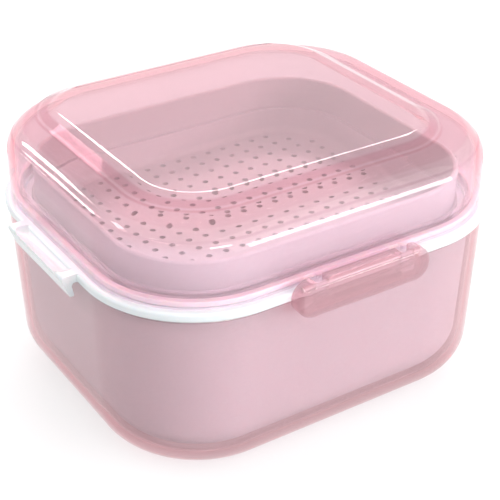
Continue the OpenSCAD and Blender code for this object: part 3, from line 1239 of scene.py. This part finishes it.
@dataclass
class Studio:
    """The pale floor, the soft light and the camera."""

    eye: Point3 = (-0.14425, -0.22602, 0.18454)
    look: Point3 = (0.46746, 0.72402, -0.50723)
    lens: float = 93.466
    floor_size: float = 6.0
    sky: float = 0.55

    def seen(self, tree: Tree) -> bpy.types.NodeSocket:
        """A mask that is 1 for what the camera sees, also in gloss and through glass."""
        path = tree.add("ShaderNodeLightPath")
        value = path.outputs["Is Camera Ray"]
        for name in ("Is Glossy Ray", "Is Transmission Ray"):
            most = tree.add("ShaderNodeMath", {"operation": "MAXIMUM"})
            tree.link(value, most.inputs[0])
            tree.link(path.outputs[name], most.inputs[1])
            value = most.outputs[0]
        return value

    def floor(self) -> bpy.types.Object:
        """The floor, which stays pale and keeps the case's shadow."""
        mesh = bmesh.new()
        bmesh.ops.create_grid(mesh, x_segments=1, y_segments=1, size=self.floor_size / 2)
        data = bpy.data.meshes.new("floor")
        mesh.to_mesh(data)
        mesh.free()
        floor = bpy.data.objects.new("floor", data)
        bpy.context.scene.collection.objects.link(floor)
        material = bpy.data.materials.new("floor_paper")
        material.use_nodes = True
        tree = Tree(material.node_tree)
        out = tree.add("ShaderNodeOutputMaterial")
        paper = tree.add("ShaderNodeBsdfDiffuse", Color=(0.52, 0.52, 0.52, 1))
        glow = tree.add("ShaderNodeEmission", Color=(1, 1, 1, 1))
        level = tree.add("ShaderNodeMath", {"operation": "MULTIPLY"})
        level.inputs[1].default_value = 0.55
        both = tree.add("ShaderNodeAddShader")
        tree.link(self.seen(tree), level.inputs[0])
        tree.link(level.outputs[0], glow.inputs["Strength"])
        tree.link(paper.outputs[0], both.inputs[0])
        tree.link(glow.outputs[0], both.inputs[1])
        tree.link(both.outputs[0], out.inputs["Surface"])
        data.materials.append(material)
        return floor

    def world(self) -> None:
        """Soft even light from all round, seen as white."""
        world = bpy.data.worlds.new("studio")
        bpy.context.scene.world = world
        world.use_nodes = True
        tree = Tree(world.node_tree)
        out = tree.add("ShaderNodeOutputWorld")
        light = tree.add("ShaderNodeBackground", Color=(1, 1, 1, 1), Strength=self.sky)
        white = tree.add("ShaderNodeBackground", Color=(1, 1, 1, 1), Strength=1.0)
        mix = tree.add("ShaderNodeMixShader")
        tree.link(self.seen(tree), mix.inputs["Fac"])
        tree.link(light.outputs[0], mix.inputs[1])
        tree.link(white.outputs[0], mix.inputs[2])
        tree.link(mix.outputs[0], out.inputs["Surface"])

    def lamps(self) -> list[bpy.types.Object]:
        """The softboxes."""
        return [
            Softbox("key", (0.45, -0.75, 0.6), (1.2, 1.2), 4.7).build(),
            Softbox("crest", (0.44, 0.54, 0.62), (0.54, 0.14), 2.8).build(),
            Softbox("crest_left", (0.2, 0.76, 0.56), (0.2, 0.1), 0.75).build(),
            Softbox("front_strip", (0.49, -0.76, 0.25), (0.5, 0.17), 3.0).build(),
            Softbox("left_strip", (-0.25, 0.75, 0.48), (0.09, 0.16), 0.6).build(),
            Softbox("low_strip", (-0.47, 0.74, 0.336), (0.08, 0.18), 0.5).build(),
            Softbox("corner_back", (-0.54, 0.42, 0.68), (0.2, 0.1), 0.5).build(),
            Softbox("corner_side", (-0.56, -0.23, 0.73), (0.4, 0.08), 0.9).build(),
            Softbox("corner_front", (-0.1, -0.8, 0.5), (0.3, 0.1), 0.9).build(),
        ]

    def camera(self) -> bpy.types.Object:
        """The camera, at the photograph's viewing angle."""
        data = bpy.data.cameras.new("camera")
        data.lens = self.lens
        data.sensor_width = 36.0
        data.clip_start, data.clip_end = 0.01, 20.0
        camera = bpy.data.objects.new("camera", data)
        camera.location = self.eye
        camera.rotation_mode = "QUATERNION"
        camera.rotation_quaternion = Vector(self.look).to_track_quat("-Z", "Y")
        bpy.context.scene.collection.objects.link(camera)
        bpy.context.scene.camera = camera
        return camera

    def build(self) -> None:
        """Builds the studio."""
        self.camera()
        self.world()
        self.lamps()
        self.floor()
        view = bpy.context.scene.view_settings
        view.view_transform = "Standard"


def main() -> None:
    """Loads the frame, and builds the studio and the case."""
    logging.basicConfig(level=logging.INFO, format="%(name)s: %(message)s")
    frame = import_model()
    Studio().build()
    for part in (Tub(), Liner(), CarryRing(), StrainerTray(), Lid(), Latch(), Seals()):
        built = part.build()
        for piece in built if isinstance(built, list) else [built]:
            LOG.info("%s: %d faces", piece.name, len(piece.data.polygons))
    for name in ("latch_pin", "hinge_pin"):
        pin = frame["nodes"][name]
        pin.data.materials.clear()
        pin.data.materials.append(finish_of(Slot.PIN))


if __name__ == "__main__":
    main()
